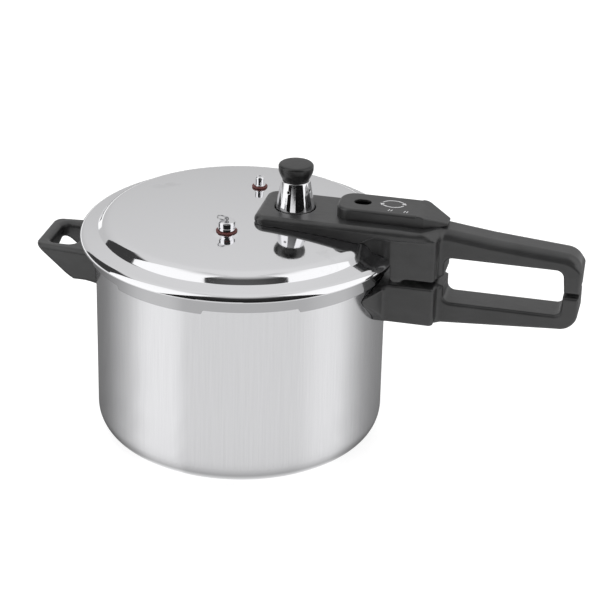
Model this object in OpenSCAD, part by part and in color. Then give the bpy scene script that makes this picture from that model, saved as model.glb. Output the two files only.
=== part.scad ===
/* Stovetop pressure cooker: aluminium pot with a bayonet lid, a two-part loop handle, a helper
   handle, a weighted regulator, a pressure indicator, a sprung safety valve and a lock pin.
   Frame: millimetres, +Z up, +X along the long handle, origin at the centre of the pot's base. */

/* [Pot] */
// Outer diameter of the pot wall
body_d = 225; // [222:1:230]
// Thickness of the pot wall
body_wall = 2.5; // [2:0.1:3]
// Thickness of the base
base_t = 4; // [3:0.5:6]
// Outer radius of the rounded edge between base and wall
base_fillet = 22; // [16:1:26]
// Height of the rim above the base
rim_z = 160; // [155:1:175]

/* [Bayonet] */
// Number of lugs on the pot rim, and of tabs on the lid skirt
lug_count = 5; // [4:1:6]
// Share of the pitch that a rim lug takes
lug_share = 0.43; // [0.35:0.01:0.44]
// Share of the pitch that a lid tab takes
tab_share = 0.52; // [0.4:0.01:0.53]

/* [Lid] */
// Thickness of the lid
lid_wall = 2.5; // [2:0.1:3]
// How far the lid's outer bead stands outside the pot wall
bead_overhang = 12.3; // [11.5:0.1:13.5]
// Height of the lid's crown above the rim of the pot
crown_h = 25.5; // [24.5:0.5:27]
// Rise of the domed crown above its own edge
crown_sag = 7.5; // [6:0.5:8.5]
// Thickness of the sealing gasket
gasket_t = 6; // [5:0.5:6]

/* [Long handle] */
// Distance from the pot axis to the end of the long handle
handle_reach = 264.5; // [255:0.5:275]
// Width of the grips
grip_w = 28; // [24:1:32]
// Width of the blocks that carry the grips
block_w = 50; // [46:1:54]
// Width of the plate that lies over the lid
plate_w = 57; // [52:1:60]
// Width of the raised cover on the plate
cover_w = 34; // [30:1:38]
// Height of the raised cover
cover_h = 9.5; // [8:0.5:11]

/* [Helper handle] */
// Distance from the pot axis to the end of the helper handle
helper_reach = 161; // [155:1:168]
// Width of the helper handle at its outer end
helper_w = 56; // [50:1:62]

/* [Fittings] */
// Distance from the pot axis to the steam vent
vent_x = 42; // [40:1:45]
// Largest diameter of the regulator weight
weight_d = 30; // [28:1:32]
// Height of the regulator weight without its knob
weight_h = 23; // [21:1:25]
// Distance from the pot axis to the safety valve and the pressure indicator
valve_r = 45.5; // [44:0.5:47]
// Travel of the regulator weight from its seat to clear of the vent tube
weight_travel = 30; // [28:1:40]

/* [Hidden] */
$fn = 96;

// Small distances used all through the model
eps = 0.01;
running = 0.05;
seat_gap = 0.2;
free_gap = 0.4;

// Pot and rim lugs
body_r = body_d / 2;
inner_r = body_r - body_wall;
pitch = 360 / lug_count;
lug_deg = pitch * lug_share;
tab_deg = pitch * tab_share;
lug_reach = 3.4;
lug_t = 4;
lug_top = rim_z - 2.7;
lug_bottom = lug_top - lug_t;

// Lid section: crown, shoulder, ledge, bead and skirt
bead_r = body_r + bead_overhang;
skirt_r = body_r + 6;
skirt_in = skirt_r - 2.2;
lid_seat = rim_z + gasket_t;
crown_top = rim_z + crown_h;
crown_edge_r = bead_r - 21;
crown_edge_z = crown_top - crown_sag;
crown_R = (crown_edge_r * crown_edge_r + crown_sag * crown_sag) / (2 * crown_sag);
ledge_r = bead_r - 14.8;
ledge_z = lid_seat + 4.6;
bead_z = lid_seat + 0.8;
bead_t = 1.6;
tab_gap = 0.7;
tab_top = lug_bottom - tab_gap;
tab_bottom = tab_top - 3.2;
skirt_bottom = tab_bottom + 3;
tab_in = body_r + 0.9;

// Long handle
plate_top = crown_top + 6;
plate_t = 6;
plate_bottom = plate_top - plate_t;
plate_start = 15;
plate_end = body_r + 44.5;
block_start = bead_r + 0.3;
block_end = body_r + 43.5;
upper_bottom = rim_z - 8.5;
lower_top = rim_z - 14;
lower_bottom = rim_z - 45;
grip_top = plate_top - 10.5;
grip_low = rim_z - 28.5;
loop_top = rim_z + 8;
loop_start = block_end + 5;
hook_t = 13.5;
loop_end = handle_reach - hook_t;
hook_split = rim_z - 9.8;
hook_gap = 2.8;
corner_r = 14;
loop_corner_r = 6;

// Raised cover
cover_top = plate_top + cover_h;
cover_start = 76;
cover_straight_end = body_r + 31.5;
cover_end = body_r + 48.5;
cover_slope_start = body_r + 28.5;
cover_shell = 2.2;
window_x = 94.5;
window_l = 13;
window_w = 9.5;
cover_screw_x = body_r + 22;
cover_screw_y = 9;

// Helper handle
helper_top = rim_z - 13;
helper_base_w = 66;
helper_bar = 10.5;
helper_web_end = body_r + 17.5;
helper_foot_z = rim_z - 52;
helper_knee_z = rim_z - 48;
helper_knee_x = body_r + 15.5;
helper_tip_t = 10;

// Handle brackets, rivets and screws
bracket_z = rim_z - 42;
bracket_h = 21;
bracket_w = 24;
bracket_t = 3;
tongue_w = 18;
tongue_t = 5;
tongue_z = bracket_z + 8;
body_tongue = 22;
helper_tongue = 12.5;
rivet_d = 5;
rivet_head_d = 9;
rivet_head_t = 2;
rivet_zs = [bracket_z + 3.8, bracket_z + bracket_h - 4];
screw_d = 5;
screw_head_d = 9;
screw_head_t = 3;
body_screw_x = body_r + 17;
helper_screw_x = body_r + 8.3;

// Lid fittings
safety_at = [0, -valve_r];
indicator_at = [2.8, valve_r];
vent_at = [vent_x, 0];
lock_at = [97.2, 0];
lid_screw_at = [88, 15];
lid_screw_head_d = 9;
vent_d = 8;
vent_pad = 8;
vent_hole_d = 33;
vent_nut_t = 4;
weight_bottom = plate_top - 1.2;
weight_top_d = 22;
weight_top = weight_bottom + weight_h;
weight_bore_d = 9.4;
knob_h = 13.3;
knob_d = 27;
knob_neck_d = 20.5;
vent_top = weight_top - 8.5;
stud_d = 5;
needle_d = 3;
safety_d = 13;
safety_h = 8.7;
safety_seal_d = 16.2;
safety_seal_t = 1.4;
safety_pad = 9;
indicator_d = 7;
indicator_h = 7.4;
indicator_seal_d = 12.3;
indicator_seal_t = 1.8;
indicator_pad = 7;
indicator_travel = 4;
lock_pad = 4.6;
lock_d = 4;
screw_pad = 6.5;
neck_d = 8;
nut_af = 12;
nut_t = 4;

// Pull ring of the safety valve
ring_r = 3.6;
ring_wire = 1;
ring_direction = 192;
ring_rest_tilt = 12;

// Height of the lid's outer and inner crown at a radius
function crown_z(r) = crown_top - crown_R + sqrt(crown_R * crown_R - r * r);
function crown_in_z(r) = crown_top - crown_R
    + sqrt(pow(crown_R - lid_wall, 2) - r * r);
function dist(p) = norm(p);
// Flat seats above and below the crown for a fitting at point p with a pad of radius pad
function seat_top(p, pad) = crown_z(max(dist(p) - pad, 0)) + 0.05;
function seat_low(p, pad) = crown_in_z(dist(p) + pad) - 0.05;
// Points of an arc, in order from angle a0 to a1
function arc(c, r, a0, a1, n = 8) =
    [for (i = [0:n]) c + r * [cos(a0 + (a1 - a0) * i / n), sin(a0 + (a1 - a0) * i / n)]];

safety_seat = seat_top(safety_at, safety_pad);
indicator_seat = seat_top(indicator_at, indicator_pad);
vent_seat = seat_top(vent_at, vent_pad);
lock_seat = seat_top(lock_at, lock_pad);
screw_seat = seat_low(lid_screw_at, screw_pad);
safety_low = seat_low(safety_at, safety_pad);
indicator_low = seat_low(indicator_at, indicator_pad);
vent_low = seat_low(vent_at, vent_pad);
lock_low = seat_low(lock_at, lock_pad);
safety_base = safety_seat + safety_seal_t;
safety_floor = safety_base + 1;
safety_roof_t = 1.2;
safety_top = safety_base + safety_h - safety_seal_t;
indicator_base = indicator_seat + indicator_seal_t;
poppet_t = 1.2;
eye_z = safety_top + 1.5;

// ---- shared shapes ----

module at(p, z = 0) {
    translate([p[0], p[1], z]) children();
}

module tube(d_out, d_in, h) {
    difference() {
        cylinder(d = d_out, h = h);
        translate([0, 0, -1]) cylinder(d = d_in, h = h + 2);
    }
}

// Extrudes a shape drawn in the X-Z plane over a width centred on Y = 0
module across(width) {
    translate([0, width / 2, 0]) rotate([90, 0, 0]) linear_extrude(height = width) children();
}

module rounded_plan(x0, x1, w, r) {
    translate([x0 + r, -w / 2]) square([x1 - x0 - 2 * r, w]);
    translate([x0, r - w / 2]) square([x1 - x0, w - 2 * r]);
    for (x = [x0 + r, x1 - r]) for (y = [r - w / 2, w / 2 - r])
        translate([x, y]) circle(r = r);
}

module hex(af, h) {
    cylinder(d = af / cos(30), h = h, $fn = 6);
}

// A wedge of the given angle about +X, for cutting rings into lugs
module sector(angle, r, z0, z1) {
    translate([0, 0, z0]) linear_extrude(height = z1 - z0)
        polygon(concat([[0, 0]], arc([0, 0], r, -angle / 2, angle / 2, 6)));
}

module pan_screw(d, head_d, head_t, length) {
    overlap = 0.3;
    translate([0, 0, -overlap]) cylinder(d = d, h = length + overlap);
    translate([0, 0, -head_t]) difference() {
        cylinder(d = head_d, h = head_t);
        translate([0, 0, -1]) cylinder(d = d * 0.6, h = 1 + head_t * 0.6, $fn = 6);
    }
}

// ---- pot ----

module pot_section() {
    inner_fillet = base_fillet - body_wall;
    floor_z = base_t;
    difference() {
        polygon(concat([[0, 0]],
            arc([body_r - base_fillet, base_fillet], base_fillet, -90, 0, 12),
            [[body_r, rim_z], [0, rim_z]]));
        polygon(concat([[-1, floor_z]],
            arc([inner_r - inner_fillet, floor_z + inner_fillet], inner_fillet, -90, 0, 12),
            [[inner_r, rim_z + 1], [-1, rim_z + 1]]));
    }
}

module pot_body() color("#c9cbcd") {
    difference() {
        union() {
            rotate_extrude() pot_section();
            // rolled rim that carries the gasket, with lugs that the lid's tabs lock under
            intersection() {
                translate([0, 0, lug_bottom])
                    tube(2 * (body_r + lug_reach), 2 * body_r - 1, lug_t);
                union() for (i = [0:lug_count - 1]) rotate([0, 0, pitch * (i + 0.5)])
                    sector(lug_deg, body_r + 20, lug_bottom - 1, lug_top + 1);
            }
        }
        for (side = [0, 180]) rotate([0, 0, side]) for (z = rivet_zs)
            translate([inner_r - 5, 0, z]) rotate([0, 90, 0])
                cylinder(d = rivet_d + 2 * running, h = body_wall + 10);
    }
}

module wall_space(gap) {
    translate([0, 0, -1]) cylinder(r = body_r + gap, h = rim_z + 2);
}

// Bracket fixed to the wall: a back plate and a tongue with a threaded hole
module bracket(tongue, screw_x) {
    difference() {
        union() {
            translate([inner_r - 4, -bracket_w / 2, bracket_z])
                cube([body_wall + 4 + bracket_t, bracket_w, bracket_h]);
            translate([body_r, -tongue_w / 2, tongue_z]) cube([tongue, tongue_w, tongue_t]);
        }
        wall_space(0);
        for (z = rivet_zs) translate([inner_r - 5, 0, z]) rotate([0, 90, 0])
            cylinder(d = rivet_d + 2 * running, h = 20);
        translate([screw_x, 0, tongue_z - 1]) cylinder(d = screw_d + 2 * running, h = tongue_t + 2);
    }
}

module bracket_rivets() {
    // a flat head inside the pot lies just clear of the curved wall
    head_x = inner_r - 0.15;
    tail_x = body_r + bracket_t;
    for (z = rivet_zs) translate([0, 0, z]) rotate([0, 90, 0]) {
        translate([0, 0, head_x]) cylinder(d = rivet_d, h = tail_x - head_x + eps);
        translate([0, 0, head_x - rivet_head_t])
            cylinder(d1 = rivet_head_d - 3, d2 = rivet_head_d, h = rivet_head_t);
        translate([0, 0, tail_x])
            cylinder(d1 = rivet_head_d - 2, d2 = rivet_head_d - 4, h = rivet_head_t);
    }
}

// Space for a bracket, its rivets and its screw inside a handle's foot
module bracket_pocket(tongue, screw_x, foot_z) {
    g = free_gap;
    translate([0, -bracket_w / 2 - g, bracket_z - g])
        cube([body_r + bracket_t + rivet_head_t + 2 * g, bracket_w + 2 * g, bracket_h + 2 * g]);
    translate([body_r, -tongue_w / 2 - g, tongue_z])
        cube([tongue + g, tongue_w + 2 * g, tongue_t + g]);
    translate([screw_x, 0, foot_z - 1]) cylinder(d = screw_d + 0.4, h = tongue_z - foot_z + 2);
    translate([screw_x, 0, foot_z - 1]) cylinder(d = screw_head_d + 1, h = screw_head_t + 2);
}

module foot_screw(screw_x, foot_z) {
    translate([screw_x, 0, foot_z + 1 + screw_head_t])
        pan_screw(screw_d, screw_head_d, screw_head_t, tongue_z + tongue_t - foot_z - 1 - screw_head_t);
}

module body_handle_bracket() color("#b9bcc0") bracket(body_tongue, body_screw_x);
module helper_bracket() color("#b9bcc0") rotate([0, 0, 180]) bracket(helper_tongue, helper_screw_x);
module body_handle_rivets() color("#d4d6d8") bracket_rivets();
module helper_rivets() color("#d4d6d8") rotate([0, 0, 180]) bracket_rivets();
module body_handle_screw() color("#8f9296") foot_screw(body_screw_x, lower_bottom);
module helper_screw() color("#8f9296") rotate([0, 0, 180]) foot_screw(helper_screw_x, helper_foot_z);

// ---- long handle ----

// Side outline of the lower grip: a bar with an upturned end
module lower_grip_outline() {
    x0 = block_end - 8;
    low = lower_bottom - 1;
    split = hook_split - hook_gap;
    polygon(concat(
        [[x0, low], [block_end + 2, low]],
        arc([handle_reach - corner_r - 1, low + 6 + corner_r], corner_r, -90, 0),
        [[handle_reach - 1, split], [loop_end + 0.5, split]],
        arc([loop_end - loop_corner_r, grip_low + loop_corner_r], loop_corner_r, 0, -90),
        arc([loop_start + loop_corner_r, grip_low + loop_corner_r], loop_corner_r, 270, 180),
        [[loop_start, lower_top - 2], [block_end - 1, lower_top], [x0, lower_top]]));
}

// Side outline of the upper grip: a tapering bar with a downturned end
module upper_grip_outline() {
    x0 = block_end - 8;
    polygon(concat(
        [[x0, plate_bottom - 2], [x0, plate_top - 1], [block_end + 5, plate_top - 1.6],
         [block_end + 40, plate_top - 6]],
        arc([handle_reach - corner_r, grip_top - corner_r], corner_r, 90, 0),
        [[handle_reach - 0.8, hook_split], [loop_end + 1, hook_split]],
        arc([loop_end - loop_corner_r, loop_top - loop_corner_r], loop_corner_r, 0, 90),
        arc([loop_start + loop_corner_r, loop_top - loop_corner_r], loop_corner_r, 90, 180),
        [[loop_start, upper_bottom + 2], [block_end - 1, upper_bottom], [x0, upper_bottom]]));
}

module body_handle() color("#2b2b2d") {
    difference() {
        union() {
            across(grip_w) lower_grip_outline();
            translate([body_r - 6, -block_w / 2, lower_bottom])
                cube([block_end - body_r + 6, block_w, lower_top - lower_bottom]);
            // the foot spreads along the wall as two wings
            hull() {
                translate([body_r, -block_w / 2, lower_bottom]) cube([3, block_w, 26]);
                for (side = [-1, 1]) translate([body_r - 8, side * 42 - 0.5, lower_bottom + 18])
                    cube([1, 1, 4]);
            }
        }
        wall_space(seat_gap);
        bracket_pocket(body_tongue, body_screw_x, lower_bottom);
    }
}

// Outer surface of the lid, filled and grown by a gap, for trimming parts that lie on it
module lid_envelope(gap) {
    translate([0, 0, gap]) rotate_extrude() lid_outline();
    cylinder(r = bead_r + gap, h = bead_z + bead_t);
}

module plate_plan() {
    rounded_plan(plate_start, plate_end, plate_w, 9);
}

module lid_handle() color("#2b2b2d") {
    difference() {
        union() {
            translate([0, 0, plate_bottom]) linear_extrude(height = plate_t) plate_plan();
            // body under the plate, which follows the shoulder of the lid
            translate([84, -block_w / 2, bead_z]) cube([block_end - 84, block_w, plate_bottom - bead_z + 1]);
            translate([block_start - 2, -block_w / 2, upper_bottom])
                cube([block_end - block_start + 2, block_w, plate_bottom - upper_bottom + 1]);
            across(grip_w) upper_grip_outline();
        }
        lid_envelope(seat_gap);
        at(vent_at, plate_bottom - 3) cylinder(d = vent_hole_d, h = plate_t + 4);
        at(vent_at, plate_top - 1) cylinder(d1 = vent_hole_d, d2 = vent_hole_d + 2, h = 1 + eps);
        at(lock_at, crown_edge_z - 12) cylinder(d = lock_d + 1.6, h = 40);
        at(lock_at, lock_seat - 2) cylinder(d = 2 * lock_pad + 1, h = 4);
        for (side = [-1, 1]) {
            at([lid_screw_at[0], side * lid_screw_at[1]], screw_seat)
                cylinder(d = 7, h = plate_top - 1.5 - screw_seat);
            at([cover_screw_x, side * cover_screw_y], upper_bottom - 1)
                cylinder(d = 7.4, h = plate_top - 6 - upper_bottom + 1);
            at([cover_screw_x, side * cover_screw_y], upper_bottom)
                cylinder(d = 3.9, h = plate_top - upper_bottom + 2);
        }
    }
}

module cover_plan(inset = 0) {
    w = cover_w / 2 - inset;
    nose = 12 - inset;
    x0 = cover_start + inset;
    x1 = cover_end - inset * 1.6;
    tip = 6 - inset * 0.6;
    polygon(concat(
        arc([x0 + nose, nose - w], nose, 180, 270, 10),
        [[cover_straight_end - inset * 0.4, -w], [x1, -tip], [x1, tip],
         [cover_straight_end - inset * 0.4, w]],
        arc([x0 + nose, w - nose], nose, 90, 180, 10)));
}

module handle_cover() color("#262628") {
    slope_drop = cover_h - 2;
    difference() {
        translate([0, 0, plate_top]) linear_extrude(height = cover_h) cover_plan();
        difference() {
            translate([0, 0, plate_top - 1])
                linear_extrude(height = cover_h + 1 - cover_shell) cover_plan(cover_shell);
            for (side = [-1, 1]) at([cover_screw_x, side * cover_screw_y], plate_top)
                cylinder(d = 8, h = cover_h);
            // the sloping end stays solid
            translate([cover_slope_start - 1, -cover_w, plate_top - 2]) cube([40, 2 * cover_w, 20]);
        }
        across(2 * cover_w) polygon([[cover_slope_start, cover_top], [cover_end + 1, cover_top - slope_drop],
            [cover_end + 1, cover_top + 1], [cover_slope_start, cover_top + 1]]);
        translate([0, 0, cover_top - 4]) linear_extrude(height = 6) {
            translate([window_x - (window_l - window_w) / 2, -window_w / 2])
                square([window_l - window_w, window_w]);
            for (side = [-1, 1]) translate([window_x + side * (window_l - window_w) / 2, 0])
                circle(d = window_w);
        }
        for (side = [-1, 1]) at([cover_screw_x, side * cover_screw_y], plate_top - 1)
            cylinder(d = 3.5 + 2 * running, h = 1 + cover_h - 3);
    }
}

module cover_screws() color("#8f9296") {
    for (side = [-1, 1]) at([cover_screw_x, side * cover_screw_y], plate_top - 6)
        pan_screw(3.5, 6.6, 2.4, 6 + cover_h - 3.5);
}

module lid_handle_inserts() color("#b08d3c") {
    for (side = [-1, 1]) at([lid_screw_at[0], side * lid_screw_at[1]], plate_top - 9.5)
        tube(7 - 2 * running, screw_d + 2 * running, 7.5);
}

module lid_screw_washers() color("#7a2f2a") {
    for (side = [-1, 1]) at([lid_screw_at[0], side * lid_screw_at[1]], screw_seat - 1.5)
        tube(11, screw_d + 0.3, 1.5);
}

module lid_handle_screws() color("#a9acb0") {
    for (side = [-1, 1]) at([lid_screw_at[0], side * lid_screw_at[1]], screw_seat - 1.5)
        pan_screw(screw_d, lid_screw_head_d, 3, plate_top - 2.5 - screw_seat + 1.5);
}

// ---- helper handle ----

module helper_plan() {
    w1 = helper_base_w / 2;
    w2 = helper_w / 2;
    r = 9;
    difference() {
        polygon(concat([[body_r - 20, w1 + 1], [body_r - 20, -w1 - 1]],
            arc([helper_reach - r, r - w2], r, -80, 0), arc([helper_reach - r, w2 - r], r, 0, 80)));
        hole_w = helper_w - 2 * helper_bar + 2;
        rounded_plan(helper_web_end, helper_reach - helper_bar, hole_w, 5);
    }
}

module helper_handle() color("#2b2b2d") rotate([0, 0, 180]) {
    difference() {
        intersection() {
            linear_extrude(height = helper_top) helper_plan();
            across(2 * helper_base_w) polygon([[body_r - 30, helper_foot_z], [body_r + 2, helper_foot_z],
                [helper_knee_x, helper_knee_z], [helper_reach - 2, helper_top - helper_tip_t],
                [helper_reach + 1, helper_top - helper_tip_t + 3], [helper_reach + 1, helper_top],
                [body_r - 30, helper_top]]);
        }
        wall_space(seat_gap);
        bracket_pocket(helper_tongue, helper_screw_x, helper_foot_z);
    }
}

// ---- lid ----

// Outer outline of the lid down to the bead, closed along the axis at the bead's height
module lid_outline() {
    steps = 10;
    crown = [for (i = [0:steps]) let (r = crown_edge_r * i / steps) [r, crown_z(r)]];
    polygon(concat([[0, bead_z - bead_t]], crown,
        arc([ledge_r + 1.2, ledge_z + 3], 3, 205, 250, 4),
        arc([bead_r - bead_t, bead_z], bead_t, 60, -90, 8)));
}

module lid_section() {
    steps = 10;
    crown = [for (i = [0:steps]) let (r = (crown_edge_r - 1.5) * i / steps) [r, crown_in_z(r)]];
    difference() {
        union() {
            lid_outline();
            translate([skirt_in, skirt_bottom]) square([skirt_r - skirt_in, bead_z - skirt_bottom]);
        }
        polygon(concat([[-1, skirt_bottom - 9], [-1, crown_in_z(0)]], crown,
            [[ledge_r - 3.5, lid_seat + 2], [ledge_r - 3, lid_seat], [skirt_in, lid_seat],
             [skirt_in, skirt_bottom - 9]]));
    }
}

module lid() color("#d9dadb") {
    difference() {
        union() {
            rotate_extrude() lid_section();
            // tabs turned in under the pot's lugs
            intersection() {
                translate([0, 0, tab_bottom]) tube(2 * skirt_r, 2 * tab_in, tab_top - tab_bottom);
                union() for (i = [0:lug_count - 1]) rotate([0, 0, pitch * (i + 0.5)])
                    sector(tab_deg, skirt_r + 20, tab_bottom - 1, tab_top + 1);
            }
            // flat pads that the fittings seat on
            at(safety_at, safety_low) cylinder(r = safety_pad, h = safety_seat - safety_low);
            at(indicator_at, indicator_low)
                cylinder(r = indicator_pad, h = indicator_seat - indicator_low);
            at(vent_at, vent_low) cylinder(r = vent_pad, h = vent_seat - vent_low);
            at(lock_at, lock_low) cylinder(r = lock_pad, h = lock_seat - lock_low);
            for (side = [-1, 1]) at([lid_screw_at[0], side * lid_screw_at[1]], screw_seat)
                cylinder(r = screw_pad, h = crown_in_z(dist(lid_screw_at)) + 1 - screw_seat);
        }
        at(safety_at, safety_low - 5) cylinder(d = neck_d + 2 * running, h = 20);
        at(indicator_at, indicator_low - 5) cylinder(d = neck_d - 2 + 2 * running, h = 20);
        at(vent_at, vent_low - 5) cylinder(d = vent_d + 2 * running, h = 20);
        at(lock_at, lock_low - 5) cylinder(d = lock_d + 3 + 2 * running, h = 20);
        for (side = [-1, 1]) at([lid_screw_at[0], side * lid_screw_at[1]], screw_seat - 5)
            cylinder(d = screw_d + 0.4, h = 20);
    }
}

module lid_gasket() color("#e8e6e0") {
    gasket_in = inner_r - 2.5;
    gasket_out = skirt_in - 0.8;
    translate([0, 0, rim_z]) rotate_extrude() difference() {
        translate([gasket_in, 0]) square([gasket_out - gasket_in, gasket_t]);
        translate([gasket_in - 1, gasket_t / 2 - 1.1]) square([4.2, 2.2]);
    }
}

// ---- steam vent and regulator weight ----

module vent_tube() color("#c4c6c8") {
    at(vent_at) difference() {
        union() {
            translate([0, 0, vent_low - 4]) cylinder(d = vent_d, h = vent_top - 3 - vent_low + 4);
            translate([0, 0, vent_top - 3]) cylinder(d1 = vent_d, d2 = 5, h = 3);
            translate([0, 0, vent_low - 4]) cylinder(d = 14, h = 2.5);
        }
        translate([0, 0, vent_low - 5]) cylinder(d = 3, h = vent_top);
    }
}

module vent_seal() color("#7a2f2a") {
    at(vent_at, vent_low - 1.5) tube(13, vent_d + 2 * running, 1.5);
}

module vent_nut() color("#b9bcc0") {
    at(vent_at, vent_seat) difference() {
        hex(13, vent_nut_t);
        translate([0, 0, -1]) cylinder(d = vent_d + 2 * running, h = vent_nut_t + 2);
    }
}

module regulator_weight() color("#dcdddf") {
    side_holes = 4;
    hole_z = weight_top - 6.7;
    at(vent_at) difference() {
        union() {
            translate([0, 0, weight_bottom]) cylinder(d = weight_d, h = 1);
            translate([0, 0, weight_bottom + 1])
                cylinder(d1 = weight_d, d2 = weight_top_d, h = weight_h - 1);
        }
        translate([0, 0, weight_bottom - 1]) cylinder(d = weight_bore_d, h = vent_top + 1.5 - weight_bottom + 1);
        translate([0, 0, weight_bottom]) cylinder(d = needle_d + 2 * running, h = weight_h - 6);
        translate([0, 0, weight_top - 5]) cylinder(d = stud_d + 2 * running, h = 6);
        for (i = [0:side_holes - 1]) rotate([0, 0, 360 / side_holes * i - 13])
            translate([0, 0, hole_z]) rotate([0, 90, 0]) cylinder(d = 2, h = weight_d);
    }
}

module regulator_needle() color("#b9bcc0") {
    at(vent_at) {
        translate([0, 0, vent_top - 2]) cylinder(d1 = 0.6, d2 = 2.6, h = 3.2);
        translate([0, 0, vent_top + 1.2]) cylinder(d = needle_d, h = weight_top - 6 - vent_top - 1.2);
    }
}

module regulator_stud() color("#8f9296") {
    at(vent_at, weight_top - 5) cylinder(d = stud_d, h = 14);
}

module regulator_knob() color("#1d1d1f") {
    crown = 1.2;
    at(vent_at) difference() {
        rotate_extrude() polygon(concat([[0, weight_top]],
            [[knob_neck_d / 2, weight_top], [knob_neck_d / 2 + 0.6, weight_top + 1]],
            arc([knob_d / 2 - 2.4, weight_top + knob_h - crown - 2.4], 2.4, -10, 80, 6),
            [[0, weight_top + knob_h]]));
        translate([0, 0, weight_top - 1]) cylinder(d = stud_d + 2 * running, h = 10.5);
    }
}

// ---- pressure indicator ----

module indicator_body() color("#cfd1d3") {
    at(indicator_at) difference() {
        union() {
            translate([0, 0, indicator_base]) cylinder(d = indicator_d, h = indicator_h - 3);
            translate([0, 0, indicator_base + indicator_h - 3])
                cylinder(d1 = indicator_d, d2 = 3.6, h = 3);
            translate([0, 0, indicator_base]) cylinder(d = 9, h = 1.2);
            translate([0, 0, indicator_low - nut_t - 1.5])
                cylinder(d = neck_d - 2, h = indicator_base - indicator_low + nut_t + 1.5 + eps);
        }
        translate([0, 0, indicator_low - 9]) cylinder(d = 2.4 + 2 * running, h = 40);
    }
}

module indicator_pin() color("#9da0a4") {
    foot_t = 1.2;
    foot_z = indicator_low - nut_t - 1.5 - indicator_travel - foot_t - 0.3;
    at(indicator_at) {
        translate([0, 0, foot_z]) cylinder(d = 4.4, h = foot_t);
        translate([0, 0, foot_z]) cylinder(d = 2.4, h = indicator_base + indicator_h - 0.4 - foot_z);
    }
}

module indicator_seal() color("#6e2326") {
    at(indicator_at, indicator_seat) tube(indicator_seal_d, neck_d - 2 + 0.2, indicator_seal_t);
}

module indicator_nut() color("#b9bcc0") {
    at(indicator_at, indicator_low - nut_t) difference() {
        hex(nut_af - 2, nut_t);
        translate([0, 0, -1]) cylinder(d = neck_d - 2 + 2 * running, h = nut_t + 2);
    }
}

// ---- safety valve ----

module safety_body() color("#d5d7d9") {
    bore_low = safety_low - nut_t - 1;
    at(safety_at) difference() {
        union() {
            translate([0, 0, safety_base]) cylinder(d = safety_d, h = safety_top - safety_base);
            translate([0, 0, bore_low]) cylinder(d = neck_d, h = safety_base - bore_low + eps);
        }
        translate([0, 0, bore_low - 1]) cylinder(d = 3.2, h = safety_floor - bore_low + 1 + eps);
        translate([0, 0, safety_floor]) cylinder(d = 8, h = safety_top - safety_floor - safety_roof_t);
        translate([0, 0, safety_base]) cylinder(d = 2 + 2 * running, h = 20);
    }
}

module safety_seal() color("#7a3a2c") {
    at(safety_at, safety_seat) tube(safety_seal_d, neck_d + 0.2, safety_seal_t);
}

module safety_nut() color("#b9bcc0") {
    at(safety_at, safety_low - nut_t) difference() {
        hex(nut_af, nut_t);
        translate([0, 0, -1]) cylinder(d = neck_d + 2 * running, h = nut_t + 2);
    }
}

// Poppet that closes the valve, with a flat eye at its top for the pull ring
module safety_stem() color("#9da0a4") {
    at(safety_at) {
        translate([0, 0, safety_floor]) cylinder(d = 6, h = poppet_t);
        translate([0, 0, safety_floor]) cylinder(d = 2, h = safety_top + 0.4 - safety_floor);
        rotate([0, 0, ring_direction]) difference() {
            translate([0, 0.6, 0]) rotate([90, 0, 0]) linear_extrude(height = 1.2) union() {
                translate([0, eye_z]) circle(d = 3.2);
                translate([-1, safety_top + 0.2]) square([2, 1.2]);
            }
            translate([0, 2, eye_z]) rotate([90, 0, 0]) cylinder(d = 1.8, h = 4);
        }
    }
}

module safety_spring() color("#b9bcc0") {
    turns = 4;
    wire = 0.7;
    coil_r = 2.4;
    z0 = safety_floor + poppet_t;
    rise = (safety_top - safety_roof_t - z0 - wire) / (turns - 1);
    at(safety_at) for (i = [0:turns - 1]) translate([0, 0, z0 + wire / 2 + rise * i])
        rotate_extrude() translate([coil_r, 0]) circle(d = wire, $fn = 24);
}

module safety_ring() color("#8d8f92") {
    at(safety_at, eye_z) rotate([0, 0, ring_direction]) rotate([0, -ring_rest_tilt, 0])
        translate([ring_r, 0, 0]) rotate_extrude() translate([ring_r, 0]) circle(d = ring_wire, $fn = 24);
}

// ---- lock pin in the handle ----

module lock_pin() color("#9da0a4") {
    foot_z = lock_low - 7;
    at(lock_at) {
        translate([0, 0, foot_z]) cylinder(d = 6, h = 1.4);
        translate([0, 0, foot_z]) cylinder(d = lock_d, h = plate_top + 1.8 - foot_z);
    }
}

module lock_seal() color("#6e2326") {
    at(lock_at) difference() {
        union() {
            translate([0, 0, lock_seat]) cylinder(d = 2 * lock_pad, h = 1.2);
            translate([0, 0, lock_low - 1]) cylinder(d = lock_d + 3, h = lock_seat - lock_low + 2);
            translate([0, 0, lock_low - 1.4]) cylinder(d = 2 * lock_pad, h = 1.4);
        }
        translate([0, 0, lock_low - 5]) cylinder(d = lock_d + 2 * running, h = 20);
    }
}

pot_body();
body_handle();
body_handle_bracket();
body_handle_rivets();
body_handle_screw();
helper_handle();
helper_bracket();
helper_rivets();
helper_screw();
lid_gasket();
lid();
lid_handle();
handle_cover();
cover_screws();
lid_handle_screws();
lid_screw_washers();
lid_handle_inserts();
vent_tube();
vent_nut();
vent_seal();
regulator_weight();
regulator_needle();
regulator_knob();
regulator_stud();
indicator_body();
indicator_pin();
indicator_seal();
indicator_nut();
safety_body();
safety_seal();
safety_nut();
safety_stem();
safety_spring();
safety_ring();
lock_pin();
lock_seal();
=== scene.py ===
import math

import bpy
import numpy as np
from mathutils import Matrix, Vector

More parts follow.
